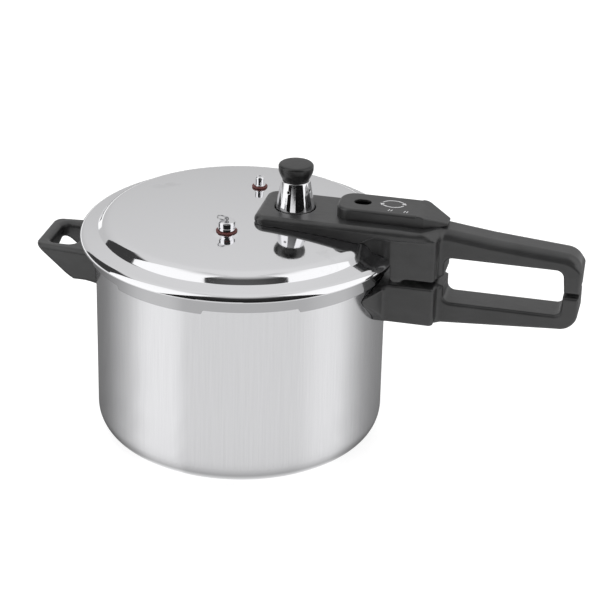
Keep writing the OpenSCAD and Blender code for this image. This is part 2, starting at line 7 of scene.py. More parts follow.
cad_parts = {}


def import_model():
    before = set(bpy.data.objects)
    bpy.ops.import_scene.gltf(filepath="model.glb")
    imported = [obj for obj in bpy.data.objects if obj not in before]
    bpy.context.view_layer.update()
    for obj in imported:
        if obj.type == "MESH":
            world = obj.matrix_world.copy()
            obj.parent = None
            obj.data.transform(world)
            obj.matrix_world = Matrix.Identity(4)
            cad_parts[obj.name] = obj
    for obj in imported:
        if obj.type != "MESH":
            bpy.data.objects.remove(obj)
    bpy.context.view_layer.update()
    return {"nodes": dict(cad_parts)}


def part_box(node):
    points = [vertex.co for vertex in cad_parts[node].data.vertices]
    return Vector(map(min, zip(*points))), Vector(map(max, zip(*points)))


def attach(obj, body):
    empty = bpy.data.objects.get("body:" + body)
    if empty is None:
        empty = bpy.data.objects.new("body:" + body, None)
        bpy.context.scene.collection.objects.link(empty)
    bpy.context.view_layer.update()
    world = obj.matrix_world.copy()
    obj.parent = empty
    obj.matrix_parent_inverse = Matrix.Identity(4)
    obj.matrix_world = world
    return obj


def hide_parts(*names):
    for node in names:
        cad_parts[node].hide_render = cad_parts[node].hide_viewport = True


# Stovetop pressure cooker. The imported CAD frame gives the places. Lengths of the cooker are
# millimetres until a mesh is made, and those of materials and the studio are metres, all in the
# frame's own axes: +Z up, +X along the long handle.
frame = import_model()
MM = 0.001


def extent(node):
    """Lowest and highest corner of a CAD node at rest, in millimetres."""
    low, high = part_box(node)
    return np.array(low) / MM, np.array(high) / MM


def centre_of(node):
    low, high = extent(node)
    return (low + high) / 2


# ---- main sizes, read from the frame ----

POT_TOP = extent("pot_body")[1][2]
WALL_R = extent("pot_body")[1][0]
WALL_T = 2.5
BASE_FILLET = 22
LUGS = 5
PITCH = 2 * math.pi / LUGS
BEAD_R = extent("lid")[1][0]
LID_TOP = POT_TOP + 25.5
CROWN_R = 722
CROWN_EDGE = BEAD_R - 21
LEDGE_R = BEAD_R - 14.8
SEAT = extent("lid_gasket")[1][2]
SKIRT_R = WALL_R + 6
LEDGE_TOP = SEAT + 4.6
BEAD_Z = SEAT - 3.5
BEAD_ROUND = 6.2
LUG_HALF_TURN = 15.48
TAB_HALF_TURN = 18.72
PLATE_TOP = extent("handle_cover")[0][2]
COVER_TOP = extent("handle_cover")[1][2]
VENT = centre_of("vent_tube")
SAFETY = centre_of("safety_body")
INDICATOR = centre_of("indicator_body")
LOCK = centre_of("lock_pin")


# ---- solid shapes as distance fields ----

def joined(a, b, blend):
    """Union of two fields with a concave fillet."""
    h = np.maximum(blend - np.abs(a - b), 0) / blend
    return np.minimum(a, b) - h * h * blend / 4


def cut(a, b, blend):
    """Field a with b taken away, with a rounded edge."""
    return -joined(-a, b, blend)


def meet(a, b, r):
    """Where both fields are solid, with their shared edge rounded to radius r."""
    u, v = a + r, b + r
    return np.minimum(np.maximum(u, v), 0) + np.hypot(np.maximum(u, 0), np.maximum(v, 0)) - r


def rect(u, v, centre, half, r):
    """Rounded rectangle in two coordinates."""
    return meet(np.abs(u - centre[0]) - half[0], np.abs(v - centre[1]) - half[1], r)


def outline(points, u, v):
    """Signed distance to a closed polygon, negative inside."""
    best = np.full(np.broadcast(u, v).shape, np.inf)
    sign = np.ones(best.shape)
    for (u0, v0), (u1, v1) in zip(points, points[-1:] + points[:-1]):
        eu, ev = u1 - u0, v1 - v0
        wu, wv = u - u0, v - v0
        t = np.clip((wu * eu + wv * ev) / (eu * eu + ev * ev), 0, 1)
        best = np.minimum(best, (wu - eu * t) ** 2 + (wv - ev * t) ** 2)
        above, below = v >= v0, v < v1
        left = eu * wv > ev * wu
        crossing = (above & below & left) | ~(above | below | left)
        sign = np.where(crossing, -sign, sign)
    return sign * np.sqrt(best)


def arc(cu, cv, r, start, end, steps=12):
    """Points of an arc, with angles in degrees."""
    turns = np.radians(np.linspace(start, end, steps + 1))
    return [(cu + r * math.cos(a), cv + r * math.sin(a)) for a in turns]


def smooth(value, low, high):
    """0 at low and 1 at high, with no corner between."""
    t = np.clip((value - low) / (high - low), 0, 1)
    return t * t * (3 - 2 * t)


# ---- meshes ----

CORNERS = np.array([(i, j, k) for i in (0, 1) for j in (0, 1) for k in (0, 1)])
EDGES = [(a, b) for a in CORNERS for b in CORNERS if (b - a).min() >= 0 and (b - a).sum() == 1]
SHARP_ANGLE = 32


def net_points(values):
    """One point in each cell that the surface crosses, and the number of each such cell."""
    inside = values < 0
    size = [n - 1 for n in values.shape]
    count = np.zeros(size, np.int8)
    for c in CORNERS:
        count += inside[tuple(slice(o, o + n) for o, n in zip(c, size))]
    mixed = (count > 0) & (count < 8)
    where = np.argwhere(mixed)
    number = np.full(size, -1, np.int64)
    number[mixed] = np.arange(len(where))
    total = np.zeros((len(where), 3))
    hits = np.zeros(len(where))
    for a, b in EDGES:
        fa, fb = values[tuple((where + a).T)], values[tuple((where + b).T)]
        crosses = (fa < 0) != (fb < 0)
        t = np.where(crosses, fa / np.where(crosses, fa - fb, 1), 0)
        total += crosses[:, None] * (a + t[:, None] * (b - a))
        hits += crosses
    return where + total / hits[:, None], number, inside


def net_faces(number, inside):
    """A quad round each grid edge that the surface crosses, facing out."""
    faces = []
    for axis in range(3):
        u, v = np.eye(3, dtype=int)[[(axis + 1) % 3, (axis + 2) % 3]]
        low = np.take(inside, range(inside.shape[axis] - 1), axis)
        high = np.take(inside, range(1, inside.shape[axis]), axis)
        at = np.argwhere(low != high)
        quad = np.stack([number[tuple((at - s).T)] for s in (u + v, v, 0 * u, u)], 1)
        outward = low[tuple(at.T)]
        quad[~outward] = quad[~outward][:, ::-1]
        faces.append(quad)
    return np.concatenate(faces)


def slope(field, points, step):
    """The field and its gradient at points."""
    x, y, z = points.T
    return field(x, y, z), np.stack([
        field(x + step, y, z) - field(x - step, y, z),
        field(x, y + step, z) - field(x, y - step, z),
        field(x, y, z + step) - field(x, y, z - step)], 1) / (2 * step)


def solid(name, field, low, high, cell):
    """Closed mesh of the surface where field(x, y, z) is zero, from cells of the given size."""
    axes = [np.arange(a - 2.5 * cell, b + 3 * cell, cell) for a, b in zip(low, high)]
    sparse = np.meshgrid(*axes, indexing="ij", sparse=True)
    values = np.ascontiguousarray(np.broadcast_to(field(*sparse), [len(a) for a in axes]))
    points, number, inside = net_points(values)
    points = points * cell + [a[0] for a in axes]
    for _ in range(3):
        off, grade = slope(field, points, cell / 20)
        move = grade * (off / np.maximum((grade ** 2).sum(1), 0.2))[:, None]
        points = points - np.clip(move, -cell / 2, cell / 2)
    grade = slope(field, points, cell / 3)[1]
    normals = grade / np.maximum(np.linalg.norm(grade, axis=1), 1e-9)[:, None]
    mesh = mesh_of(name, points, net_faces(number, inside).tolist())
    mesh.shade_smooth()
    mesh.normals_split_custom_set_from_vertices(normals.tolist())
    return linked(name, mesh)


def linked(name, data):
    """A new object in the scene, from a mesh, a lamp or a camera."""
    made = bpy.data.objects.new(name, data)
    bpy.context.scene.collection.objects.link(made)
    return made


def mesh_of(name, points, faces):
    """Mesh from points in millimetres and lists of point numbers."""
    mesh = bpy.data.meshes.new(name)
    mesh.from_pydata((np.asarray(points, float) * MM).tolist(), [], faces)
    mesh.validate()
    return mesh


def revolved(name, profile, segments=192, centre=(0, 0), shape=None):
    """Turns a profile of (radius, height) about a vertical line, anticlockwise with the axis on
    its left. A profile that starts and ends on the axis is closed by poles, and any other is a
    ring. shape(r, z, angle) may change each ring point with the angle."""
    profile = np.array(profile, float)
    poles = profile[0, 0] == 0
    inner = profile[1:-1] if poles else profile
    angle = np.linspace(0, 2 * np.pi, segments, endpoint=False)
    r, turn = np.meshgrid(inner[:, 0], angle, indexing="ij")
    z = np.meshgrid(inner[:, 1], angle, indexing="ij")[0]
    if shape:
        r, z = shape(r, z, turn)
    points = np.stack([centre[0] + r * np.cos(turn), centre[1] + r * np.sin(turn), z], 2)
    rows = len(inner)
    index = np.arange(rows * segments).reshape(rows, segments)
    nxt = np.roll(index, -1, axis=1)
    pairs = [(i, i + 1) for i in range(rows - 1)] + ([] if poles else [(rows - 1, 0)])
    faces = []
    for a, b in pairs:
        faces += np.stack([index[a], nxt[a], nxt[b], index[b]], 1).tolist()
    points = points.reshape(-1, 3)
    if poles:
        first, last = len(points), len(points) + 1
        points = np.vstack([points, [*centre, profile[0, 1]], [*centre, profile[-1, 1]]])
        faces += [[first, b, a] for a, b in zip(index[0], nxt[0])]
        faces += [[last, a, b] for a, b in zip(index[-1], nxt[-1])]
    mesh = mesh_of(name, points, faces)
    mesh.shade_smooth()
    mesh.set_sharp_from_angle(angle=math.radians(SHARP_ANGLE))
    return linked(name, mesh)


# ---- materials ----

class Paint:
    """A node material, with a short call for each node it needs."""

    def __init__(self, name, colour, metallic, roughness, **sockets):
        self.material = bpy.data.materials.new(name)
        self.material.use_nodes = True
        self.nodes = self.material.node_tree.nodes
        self.links = self.material.node_tree.links
        self.shader = self.nodes["Principled BSDF"]
        self.shader.inputs["Base Color"].default_value = (*colour, 1)
        self.shader.inputs["Metallic"].default_value = metallic
        self.shader.inputs["Roughness"].default_value = roughness
        for socket, value in sockets.items():
            self.shader.inputs[socket.replace("_", " ")].default_value = value
        self.where = self.add("ShaderNodeTexCoord").outputs["Object"]
        self.normal = None

    def add(self, kind, **inputs):
        node = self.nodes.new(kind)
        for key, value in inputs.items():
            socket = node.inputs[key.replace("_", " ")]
            if isinstance(value, bpy.types.NodeSocket):
                self.links.new(value, socket)
            else:
                socket.default_value = value
        return node

    def scaled(self, x, y, z):
        """The place on the object, in metres, times a factor along each axis."""
        mapping = self.add("ShaderNodeMapping", Vector=self.where)
        mapping.inputs["Scale"].default_value = (x, y, z)
        return mapping.outputs["Vector"]

    def radius(self):
        """Distance from the vertical axis in metres, as the X of a place for a noise."""
        length = self.nodes.new("ShaderNodeVectorMath")
        length.operation = "LENGTH"
        self.links.new(self.scaled(1, 1, 0), length.inputs[0])
        return self.add("ShaderNodeCombineXYZ", X=length.outputs["Value"]).outputs["Vector"]

    def product(self, a, b):
        node = self.nodes.new("ShaderNodeMath")
        node.operation = "MULTIPLY"
        self.links.new(a, node.inputs[0])
        self.links.new(b, node.inputs[1])
        return node.outputs[0]

    def noise(self, place, scale, detail=4, rough=0.6):
        return self.add("ShaderNodeTexNoise", Vector=place, Scale=scale, Detail=detail,
                        Roughness=rough).outputs[0]

    def spread(self, factor, low, high, start=0.3, end=0.7):
        """Carries a noise from start..end onto low..high."""
        node = self.add("ShaderNodeMapRange", Value=factor, From_Min=start, From_Max=end,
                        To_Min=low, To_Max=high)
        return node.outputs["Result"]

    def roughness(self, factor, low, high, start=0.3, end=0.7):
        self.links.new(self.spread(factor, low, high, start, end), self.shader.inputs["Roughness"])

    def colour(self, factor, dark, light, start=0.3, end=0.7):
        ramp = self.add("ShaderNodeValToRGB", Fac=factor)
        ramp.color_ramp.elements[0].position = start
        ramp.color_ramp.elements[0].color = (*dark, 1)
        ramp.color_ramp.elements[1].position = end
        ramp.color_ramp.elements[1].color = (*light, 1)
        self.links.new(ramp.outputs["Color"], self.shader.inputs["Base Color"])

    def bump(self, factor, strength, distance):
        """Adds relief of the given depth in metres, on top of any set before."""
        node = self.add("ShaderNodeBump", Height=factor, Strength=strength, Distance=distance)
        if self.normal:
            self.links.new(self.normal, node.inputs["Normal"])
        self.normal = node.outputs["Normal"]
        self.links.new(self.normal, self.shader.inputs["Normal"])


def grey(value, blue=1.02):
    """A grey with its blue raised or lowered a little."""
    return (value, value, min(1, value * blue))


def satin_aluminium():
    """Fine upright brush lines on the wall, with clouding in the finish."""
    paint = Paint("satin_aluminium", grey(0.9), 1, 0.2)
    lines = paint.noise(paint.scaled(1, 1, 0.012), 1300, 3, 0.7)
    broad = paint.noise(paint.scaled(1, 1, 0.05), 130, 2, 0.5)
    clouds = paint.noise(paint.where, 28, 3, 0.5)
    paint.colour(lines, grey(0.87), grey(0.92))
    paint.roughness(broad, 0.14, 0.19)
    paint.bump(lines, 0.016, 0.0002)
    paint.bump(clouds, 0.05, 0.0004)
    return paint.material


def polished_aluminium():
    """Mirror polish with faint turning marks and a little haze, and painted shade that darkens the
    skirt below the bead."""
    paint = Paint("polished_aluminium", grey(0.86), 1, 0.05)
    marks = paint.noise(paint.radius(), 2600, 2, 0.7)
    haze = paint.noise(paint.where, 22, 4, 0.6)
    wipes = paint.noise(paint.scaled(1, 0.08, 1), 240, 3, 0.7)
    height = paint.add("ShaderNodeSeparateXYZ", Vector=paint.where).outputs["Z"]
    # Painted shade: below the bead the base colour falls to a darker grey, standing in for the shade
    # under the bead's overhang.
    edge = (BEAD_Z + 0.1) * MM
    outside_skirt_shade = paint.spread(height, 0, 1, edge - 0.0006, edge)
    haze_and_skirt_shade = paint.product(outside_skirt_shade, haze)
    paint.colour(haze_and_skirt_shade, grey(0.58), grey(0.87), 0.05, 0.35)
    paint.roughness(wipes, 0.035, 0.085)
    paint.bump(marks, 0.012, 0.0002)
    return paint.material


def turned_aluminium():
    paint = Paint("turned_aluminium", grey(0.66), 1, 0.32)
    marks = paint.noise(paint.radius(), 1500, 3, 0.7)
    clouds = paint.noise(paint.where, 40, 4, 0.6)
    paint.colour(clouds, grey(0.6), grey(0.7))
    paint.roughness(marks, 0.26, 0.4)
    paint.bump(marks, 0.2, 0.0002)
    return paint.material


def chrome():
    paint = Paint("bright_chrome", grey(0.86), 1, 0.04)
    haze = paint.noise(paint.where, 300, 4, 0.6)
    paint.roughness(haze, 0.03, 0.07)
    paint.bump(haze, 0.02, 0.0001)
    return paint.material


def plain_steel():
    paint = Paint("plain_steel", grey(0.55), 1, 0.3)
    grain = paint.noise(paint.scaled(1, 1, 0.2), 900, 4, 0.7)
    paint.colour(grain, grey(0.48), grey(0.6))
    paint.roughness(grain, 0.24, 0.42)
    paint.bump(grain, 0.1, 0.0001)
    return paint.material


def brass():
    paint = Paint("brass", (0.6, 0.42, 0.16), 1, 0.3)
    grain = paint.noise(paint.where, 700, 4, 0.7)
    paint.colour(grain, (0.52, 0.36, 0.13), (0.66, 0.47, 0.19))
    paint.roughness(grain, 0.24, 0.4)
    return paint.material


def phenolic(name, dark, light, roughness):
    """Moulded black phenolic: a fine pebble, slow changes of gloss and pale dust in the colour."""
    paint = Paint(name, dark, 0, roughness, Specular_IOR_Level=0.75)
    fine = paint.noise(paint.where, 1700, 3, 0.6)
    flow = paint.noise(paint.scaled(1, 1, 2), 45, 4, 0.55)
    scuffs = paint.noise(paint.scaled(0.25, 1, 1), 420, 4, 0.75)
    paint.colour(flow, dark, light)
    paint.roughness(scuffs, roughness - 0.05, roughness + 0.06)
    paint.bump(fine, 0.14, 0.00012)
    paint.bump(flow, 0.05, 0.0008)
    return paint.material


def silicone(name, dark, light):
    paint = Paint(name, dark, 0, 0.5)
    cloud = paint.noise(paint.where, 160, 4, 0.6)
    paint.colour(cloud, dark, light)
    paint.roughness(cloud, 0.42, 0.6)
    paint.bump(cloud, 0.08, 0.0002)
    return paint.material


def print_ink():
    """Pale grey ink, worn in places."""
    paint = Paint("print_ink", grey(0.7), 0, 0.5)
    wear = paint.noise(paint.where, 900, 4, 0.7)
    paint.colour(wear, grey(0.5), grey(0.78))
    paint.roughness(wear, 0.45, 0.6)
    return paint.material


FINISH = {
    "pot_aluminium": satin_aluminium(),
    "lid_aluminium": polished_aluminium(),
    "bracket_aluminium": turned_aluminium(),
    "black_phenolic": phenolic("black_phenolic", grey(0.02), grey(0.031), 0.34),
    "black_cover": phenolic("black_cover", grey(0.016), grey(0.024), 0.36),
    "black_knob": phenolic("black_knob", grey(0.004), grey(0.007), 0.34),
    "chrome": chrome(),
    "plain_steel": plain_steel(),
    "brass": brass(),
    "pale_silicone": silicone("pale_silicone", grey(0.68, 0.95), grey(0.74, 0.95)),
    "red_silicone": silicone("red_silicone", (0.1, 0.022, 0.018), (0.15, 0.035, 0.03)),
}


def finished(piece, slot):
    """Gives a piece the one material of its slot."""
    piece.data.materials.clear()
    piece.data.materials.append(FINISH[slot])


def place(piece, body, slot, *nodes):
    """Gives a new piece its body, its finish and the CAD nodes it stands for."""
    finished(piece, slot)
    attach(piece, body)
    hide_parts(*nodes)
    return piece


# ---- pot ----

def lug_share(turn, half_deg, ramp_deg):
    """1 within a lug or tab and 0 between them, at an angle round the axis in radians."""
    off = np.degrees(np.abs((turn % PITCH) - PITCH / 2))
    return 1 - smooth(off, half_deg - ramp_deg, half_deg)


def pot_shell():
    """Pot with a rounded base, a turned recess under it and lugs round the rim."""
    inner_r, floor = WALL_R - WALL_T, 4
    round_in = BASE_FILLET - WALL_T
    rim_round = 0.6
    recess_r, recess = 70, 0.25
    lug_low, lug_high, reach, step = POT_TOP - 6.7, POT_TOP - 2.7, 3.4, 0.8
    profile = [(0, recess), (30, recess), (recess_r, recess), (recess_r + 1, 0.2), (recess_r + 2, 0)]
    profile += arc(WALL_R - BASE_FILLET, BASE_FILLET, BASE_FILLET, -90, 0, 20)
    profile += [(WALL_R, z) for z in np.linspace(30, lug_low - 1, 12)]
    profile += [(WALL_R, lug_low), (WALL_R + 0.2, lug_low), (WALL_R + step, lug_low + 0.4),
                (WALL_R + step, lug_high - 0.4), (WALL_R + 0.2, lug_high), (WALL_R, lug_high)]
    profile += arc(WALL_R - rim_round, POT_TOP - rim_round, rim_round, 0, 90, 4)
    profile += arc(inner_r + rim_round, POT_TOP - rim_round, rim_round, 90, 180, 4)
    profile += [(inner_r, z) for z in np.linspace(POT_TOP - 3, floor + round_in + 3, 10)]
    profile += arc(inner_r - round_in, floor + round_in, round_in, 0, -90, 16)
    profile += [(60, floor), (30, floor), (0, floor)]

    def lugs(r, z, turn):
        """Carries the lug's four points out to its reach, and lays them on the wall elsewhere."""
        share = lug_share(turn, LUG_HALF_TURN, 0.8)
        face, foot = r > WALL_R + 0.5, np.abs(r - WALL_R - 0.2) < 0.01
        out = face * (reach - step) + foot * (reach - 0.6)
        flush = np.where(r > WALL_R, WALL_R + 0.02, r)
        return np.where(r > WALL_R + 0.01, flush + share * (out + r - flush), r), z

    shell = revolved("pot_shell", profile, 720, shape=lugs)
    return place(shell, "pot", "pot_aluminium", "pot_body")


# ---- lid ----

def crown(r):
    """Height of the lid's crown at a radius."""
    return LID_TOP - CROWN_R + np.sqrt(CROWN_R ** 2 - r ** 2)


def bend(a, b, c, r, steps=8):
    """Arc of radius r that rounds the corner b between points a and c."""
    a, b, c = (np.array(p, float) for p in (a, b, c))
    u, v = (a - b) / np.linalg.norm(a - b), (c - b) / np.linalg.norm(c - b)
    half = math.acos(np.clip(u @ v, -1, 1)) / 2
    middle = b + (u + v) / np.linalg.norm(u + v) * r / math.sin(half)
    start, end = b + u * r / math.tan(half) - middle, b + v * r / math.tan(half) - middle
    sweep = math.pi - 2 * half
    side = math.copysign(1, start[0] * end[1] - start[1] * end[0])
    points = []
    for t in np.linspace(0, sweep, steps + 1):
        cs, sn = math.cos(t), side * math.sin(t)
        points.append((middle[0] + start[0] * cs - start[1] * sn,
                       middle[1] + start[0] * sn + start[1] * cs))
    return points


def lid_profile():
    """Section of the lid, from the underside of the crown round the skirt to the top."""
    skirt_in, skirt_low = SKIRT_R - 2.2, SEAT - 13.6
    dome_r, sheet = 98, 2.55
    bead_start = 12
    bead_x = BEAD_R - BEAD_ROUND * math.cos(math.radians(bead_start))
    lip = 0.7
    edge, foot = (CROWN_EDGE + 1, crown(CROWN_EDGE + 1)), (LEDGE_R + 0.4, LEDGE_TOP + 0.2)
    rim = (bead_x, BEAD_Z + BEAD_ROUND * 1.01)
    inner_foot = (LEDGE_R - 3.5, SEAT + 2)
    under = [(0, LID_TOP - 2.5)] + [(r, crown(r) - sheet) for r in np.linspace(6, dome_r, 20)]
    under += bend((dome_r, crown(dome_r) - sheet), (CROWN_EDGE - 1.5, crown(CROWN_EDGE) - 2.7),
                  inner_foot, 3, 5)
    under += [inner_foot, (LEDGE_R - 3, SEAT), (skirt_in, SEAT)]
    skirt = [(skirt_in, SEAT - 4), (skirt_in, SEAT - 9), (skirt_in, skirt_low + 1.2),
             (skirt_in, skirt_low + 0.3), (skirt_in + 0.3, skirt_low), (SKIRT_R - 0.5, skirt_low),
             (SKIRT_R, skirt_low + 0.5), (SKIRT_R, skirt_low + 2), (SKIRT_R, SEAT - 8)]
    skirt += [(SKIRT_R, z) for z in np.linspace(SEAT - 7, SEAT - 5, 3)]
    bead = bend((SKIRT_R, SEAT - 5), (SKIRT_R, BEAD_Z + 0.3), (BEAD_R - lip, BEAD_Z + 0.3), 1, 4)
    bead += arc(BEAD_R - lip, BEAD_Z + 0.3 + lip, lip, -90, -10, 4)
    bead += arc(bead_x, BEAD_Z, BEAD_ROUND, bead_start, 79, 16)
    top = bend(rim, foot, edge, 1.4, 8)
    shoulder = bend(foot, edge, (88, crown(88)), 12, 16)
    dome = [(r, crown(r)) for r in np.linspace(dome_r, 4, 40)] + [(0, LID_TOP)]
    return under + skirt + bead + top + shoulder + dome, skirt_in, skirt_low


def seat_height(place_xy, pad):
    """Height of the flat seat pressed round a fitting, just above the crown at its inner side."""
    return crown(max(math.hypot(*place_xy) - pad, 0)) + 0.02


def lid_shell():
    """Pressed lid: domed crown, shoulder, ledge, rolled bead and a skirt with five tabs."""
    profile, skirt_in, skirt_low = lid_profile()
    tab_top, tab_low, tab_in = POT_TOP - 7.4, POT_TOP - 10.6, WALL_R + 0.9
    sheet = 2.5
    seats = [(SAFETY, 9), (INDICATOR, 7), (VENT, 8), (LOCK, 4.6)]

    def pressed(r, z, turn):
        """Draws the foot of the skirt down and in as tabs, and presses a flat seat of the given
        radius for each fitting."""
        share = lug_share(turn, TAB_HALF_TURN, 0.75)
        low = (z < skirt_low + 1) & (r > skirt_in - 1)
        z = np.where(low, z - share * (skirt_low - tab_low), z)
        inner = (r < skirt_in + 0.35) & (r > skirt_in - 0.01)
        lip = inner & low
        r = np.where(lip, r - share * (skirt_in - tab_in), r)
        shelf = inner & ~low & (z < skirt_low + 1.3)
        z = np.where(shelf, z + share * (tab_top - skirt_low - 1.2), z)
        for fitting, pad in seats:
            away = np.hypot(r * np.cos(turn) - fitting[0], r * np.sin(turn) - fitting[1])
            flat = 1 - smooth(away, pad - 0.8, pad + 1.8)
            level = seat_height(fitting[:2], pad)
            skin = z > crown(np.minimum(r, CROWN_EDGE)) - 1
            z = z + flat * (z > SEAT + 8) * (np.where(skin, level, level - sheet) - z)
        return r, z

    shell = revolved("lid_shell", profile, 680, shape=pressed)
    return place(shell, "lid", "lid_aluminium", "lid")


def gasket_ring():
    """Moulded gasket with a groove on its inner side and rounded lips."""
    low, high = extent("lid_gasket")
    outer, inner = high[0], high[0] - 8
    z0, z1 = low[2], high[2]
    mid = (z0 + z1) / 2
    groove = inner + 2.8
    back, lip = 1, 0.9
    profile = arc(outer - back, z0 + back, back, -90, 0, 4)
    profile += arc(outer - back, z1 - back, back, 0, 90, 4)
    profile += arc(inner + lip, z1 - lip, lip, 90, 180, 4)
    profile += [(inner, mid + 1.4), (inner + 0.4, mid + 1.1)]
    profile += [(groove, mid + 0.9)] + arc(groove, mid, 0.5, 60, -60, 4)
    profile += [(groove, mid - 0.9), (inner + 0.4, mid - 1.1), (inner, mid - 1.4)]
    profile += arc(inner + lip, z0 + lip, lip, 180, 270, 4)
    return place(revolved("gasket_ring", profile, 256), "gasket", "pale_silicone", "lid_gasket")


# ---- long handle ----

GRIP_HALF = 14
BLOCK_HALF = 25
REACH = extent("lid_handle")[1][0]
LOOP_START = WALL_R + 48.5
LOOP_END = REACH - 13.5
BLOCK_END = WALL_R + 43.5
LOOP_ROUND = 6
HOOK_ROUND = 14
WINDOW_X = 94.5
WEIGHT_HOLE = 15.5
PIN_BORE = (extent("lock_pin")[1][1] - extent("lock_pin")[0][1]) / 2 + 0.5


def lid_space(x, y, z, gap):
    """Field of everything under the lid's outer surface, grown by a gap."""
    r = np.hypot(x, y)
    dome = np.hypot(r, z - LID_TOP + CROWN_R) - CROWN_R
    shoulder = (r - CROWN_EDGE - 1) * 0.797 + (z - crown(CROWN_EDGE + 1)) * 0.603
    cap = meet(dome, shoulder, 2.9)
    ledge = (z - LEDGE_TOP) * 0.983 + (r - LEDGE_R) * 0.184
    skirt = meet(r - BEAD_R, ledge, BEAD_ROUND)
    return np.minimum(cap, skirt) - gap


def upper_outline(x, z):
    """Side view of the upper grip, which ends in a hook turned down."""
    top, low, split = PLATE_TOP - 1, POT_TOP + 8, POT_TOP - 9.8
    root, under = BLOCK_END - 10, POT_TOP - 8
    points = [(root, low + 15), (root, top), (BLOCK_END + 3, top - 0.4),
              (BLOCK_END + 20, top - 2.6), (BLOCK_END + 40, top - 5)]
    points += arc(REACH - HOOK_ROUND, top - 23.5, HOOK_ROUND, 84, 4, 14)
    points += [(REACH - 0.9, split), (LOOP_END + 1, split)]
    points += arc(LOOP_END - LOOP_ROUND, low - LOOP_ROUND, LOOP_ROUND, 0, 90, 10)
    points += arc(LOOP_START + LOOP_ROUND, low - LOOP_ROUND, LOOP_ROUND, 90, 180, 10)
    points += [(LOOP_START, under + 1.5), (LOOP_START - 4, under), (root, under)]
    return outline(points, x, z)


def plate_field(x, y, z):
    """Plate over the lid with softly rounded top edges and chamfered rear corners, hollow inside
    a rim that reaches down to the lid."""
    front, end, hollow_end = extent("lid_handle")[0][0], WALL_R + 44.5, 84
    half, rim, skin = 28.5, 3.5, 5
    corner = np.where(x < 80, 9, 5)
    plan = rect(x, y, ((front + end) / 2, 0), ((end - front) / 2, half), corner)
    plan = meet(plan, (x + np.abs(y) - end - 17) * 0.707, 4)
    hollow = rect(x, y, ((front + hollow_end) / 2 + 2, 0),
                  ((hollow_end - front) / 2 - 2, half - rim), 6)
    hollow = meet(hollow, z - PLATE_TOP + skin, 1)
    return cut(meet(plan, z - PLATE_TOP, 4.4), hollow, 0.5)


def lid_handle_field(x, y, z):
    """Grip, the block at its root, a web over the lid's edge and the plate, fitted to the lid."""
    crest = PLATE_TOP - 5 - 0.1 * (x - LOOP_START)
    edge = 3 + 5 * smooth(z - crest, -9, -2)
    grip = meet(upper_outline(x, z), np.abs(y) - GRIP_HALF, edge)
    start, web_x, web_half, web_low = 119, 105, 25, 150
    block = rect(x, y, ((start + BLOCK_END) / 2, 0), ((BLOCK_END - start) / 2, BLOCK_HALF), 3.5)
    block = meet(meet(block, POT_TOP - 8.5 - z, 2), z - PLATE_TOP + 5.5, 1.5)
    web = meet(np.abs(x - web_x) - web_half, np.abs(y) - BLOCK_HALF, 3)
    web = np.maximum(meet(web, z - PLATE_TOP + 2, 2), web_low - z)
    rim_low = PLATE_TOP - 6.5 - 14 * (1 - smooth(x, 84, 110))
    plate = np.maximum(plate_field(x, y, z), rim_low - z)
    body = joined(joined(block, web, 6), grip, 7)
    body = joined(body, plate, 4)
    body = cut(body, lid_space(x, y, z, 0.1), 0.3)
    hole = np.hypot(x - VENT[0], y - VENT[1]) - WEIGHT_HOLE
    hole = np.maximum(hole, np.abs(z - PLATE_TOP) - 12)
    pin = np.maximum(np.hypot(x - LOCK[0], y - LOCK[1]) - PIN_BORE, np.abs(z - LID_TOP) - 25)
    return cut(cut(body, hole, 2), pin, 0.5)


def lid_handle():
    low, high = extent("lid_handle")
    made = solid("upper_handle", lid_handle_field, low, high, 0.7)
    return place(made, "lid", "black_phenolic", "lid_handle")


def lower_outline(x, z):
    """Side view of the lower grip, which ends in a hook turned up."""
    low, top, split = POT_TOP - 46, POT_TOP - 28.5, POT_TOP - 12.6
    root = BLOCK_END - 10
    points = [(root, low + 1), (BLOCK_END, low)]
    points += arc(REACH - 1 - HOOK_ROUND, low + 20, HOOK_ROUND, -94, -4, 14)
    points += [(REACH - 1, split), (LOOP_END + 0.5, split)]
    points += arc(LOOP_END - LOOP_ROUND, top + LOOP_ROUND, LOOP_ROUND, 0, -90, 10)
    points += arc(LOOP_START + LOOP_ROUND, top + LOOP_ROUND, LOOP_ROUND, 270, 180, 10)
    points += [(LOOP_START, POT_TOP - 15.5), (root, POT_TOP - 14)]
    return outline(points, x, z)


def wing_field(x, y, z):
    """The foot of the lower handle, which thins out along the wall to two points."""
    away = np.maximum(np.abs(y) - 22, 0)
    wall = np.hypot(x, y)
    skin = (wall - WALL_R - 9.5 + 0.43 * away) * 0.92
    over = (z - POT_TOP + 17 + 0.2 * away) * 0.98
    under = (POT_TOP - 45 + 1.0 * away - z) * 0.71
    shape = meet(meet(skin, over, 1), under, 1)
    return np.maximum(np.maximum(shape, np.abs(y) - 42.4), 90 - x)


def body_handle_field(x, y, z):
    """Lower grip, the block at its root and the foot on the wall, fitted to the pot."""
    start = 100
    grip = meet(lower_outline(x, z), np.abs(y) - GRIP_HALF, 2.6)
    plan = rect(x, y, ((start + BLOCK_END) / 2, 0), ((BLOCK_END - start) / 2, BLOCK_HALF), 3.5)
    slope_top = z - POT_TOP + 14 + 6 * (1 - smooth(x, 106, 122))
    block = meet(meet(plan, slope_top, 2), POT_TOP - 45 - z, 2)
    body = joined(joined(block, grip, 6), wing_field(x, y, z), 2.5)
    return cut(body, np.hypot(x, y) - WALL_R - 0.2, 0.5)


def body_handle():
    low, high = extent("body_handle")
    made = solid("lower_handle", body_handle_field, low, high, 0.7)
    return place(made, "pot", "black_phenolic", "body_handle")


